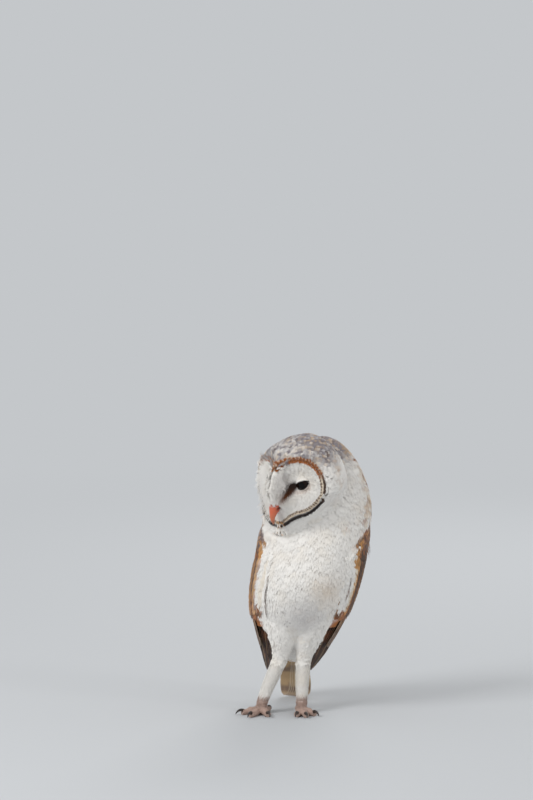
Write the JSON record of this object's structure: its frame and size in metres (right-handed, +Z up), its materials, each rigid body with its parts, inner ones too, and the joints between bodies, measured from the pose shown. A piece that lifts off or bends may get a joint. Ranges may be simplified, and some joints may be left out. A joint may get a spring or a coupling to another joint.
{
  "type": "barn owl",
  "caption": "Life-size still model of a barn owl standing upright, head turned to its right and bowed, wings folded, tail tip on the floor.",
  "frame": {"origin": "on the floor, under the middle of the bird's box", "axes": "+Z up, the breast faces -Y, the bird's left is +X; the face turns towards -X and -Y"},
  "size_m": [0.1472, 0.1784, 0.3056],
  "materials": {
    "white_plumage": "soft white contour feathers",
    "gold_plumage": "golden and grey feathers, barred and spotted",
    "bill_horn": "satin pinkish horn",
    "foot_skin": "scaly greyish skin",
    "claw_horn": "dark polished horn",
    "eye_gloss": "wet gloss"
  },
  "bodies": {
    "root": {"bill_lower": "bill_horn", "bill_upper": "bill_horn", "claw_left_hind": "claw_horn", "claw_left_inner": "claw_horn", "claw_left_middle": "claw_horn", "claw_left_outer": "claw_horn", "claw_right_hind": "claw_horn", "claw_right_inner": "claw_horn", "claw_right_middle": "claw_horn", "claw_right_outer": "claw_horn", "eye_left": "eye_gloss", "eye_right": "eye_gloss", "head": "white_plumage", "neck": "white_plumage", "shank_left": "white_plumage", "shank_right": "white_plumage", "tail": "gold_plumage", "thigh_left": "white_plumage", "thigh_right": "white_plumage", "toe_left_hind": "foot_skin", "toe_left_inner": "foot_skin", "toe_left_middle": "foot_skin", "toe_left_outer": "foot_skin", "toe_right_hind": "foot_skin", "toe_right_inner": "foot_skin", "toe_right_middle": "foot_skin", "toe_right_outer": "foot_skin", "trunk": "white_plumage", "wing_left": "gold_plumage", "wing_right": "gold_plumage"}
  },
  "joints": []
}
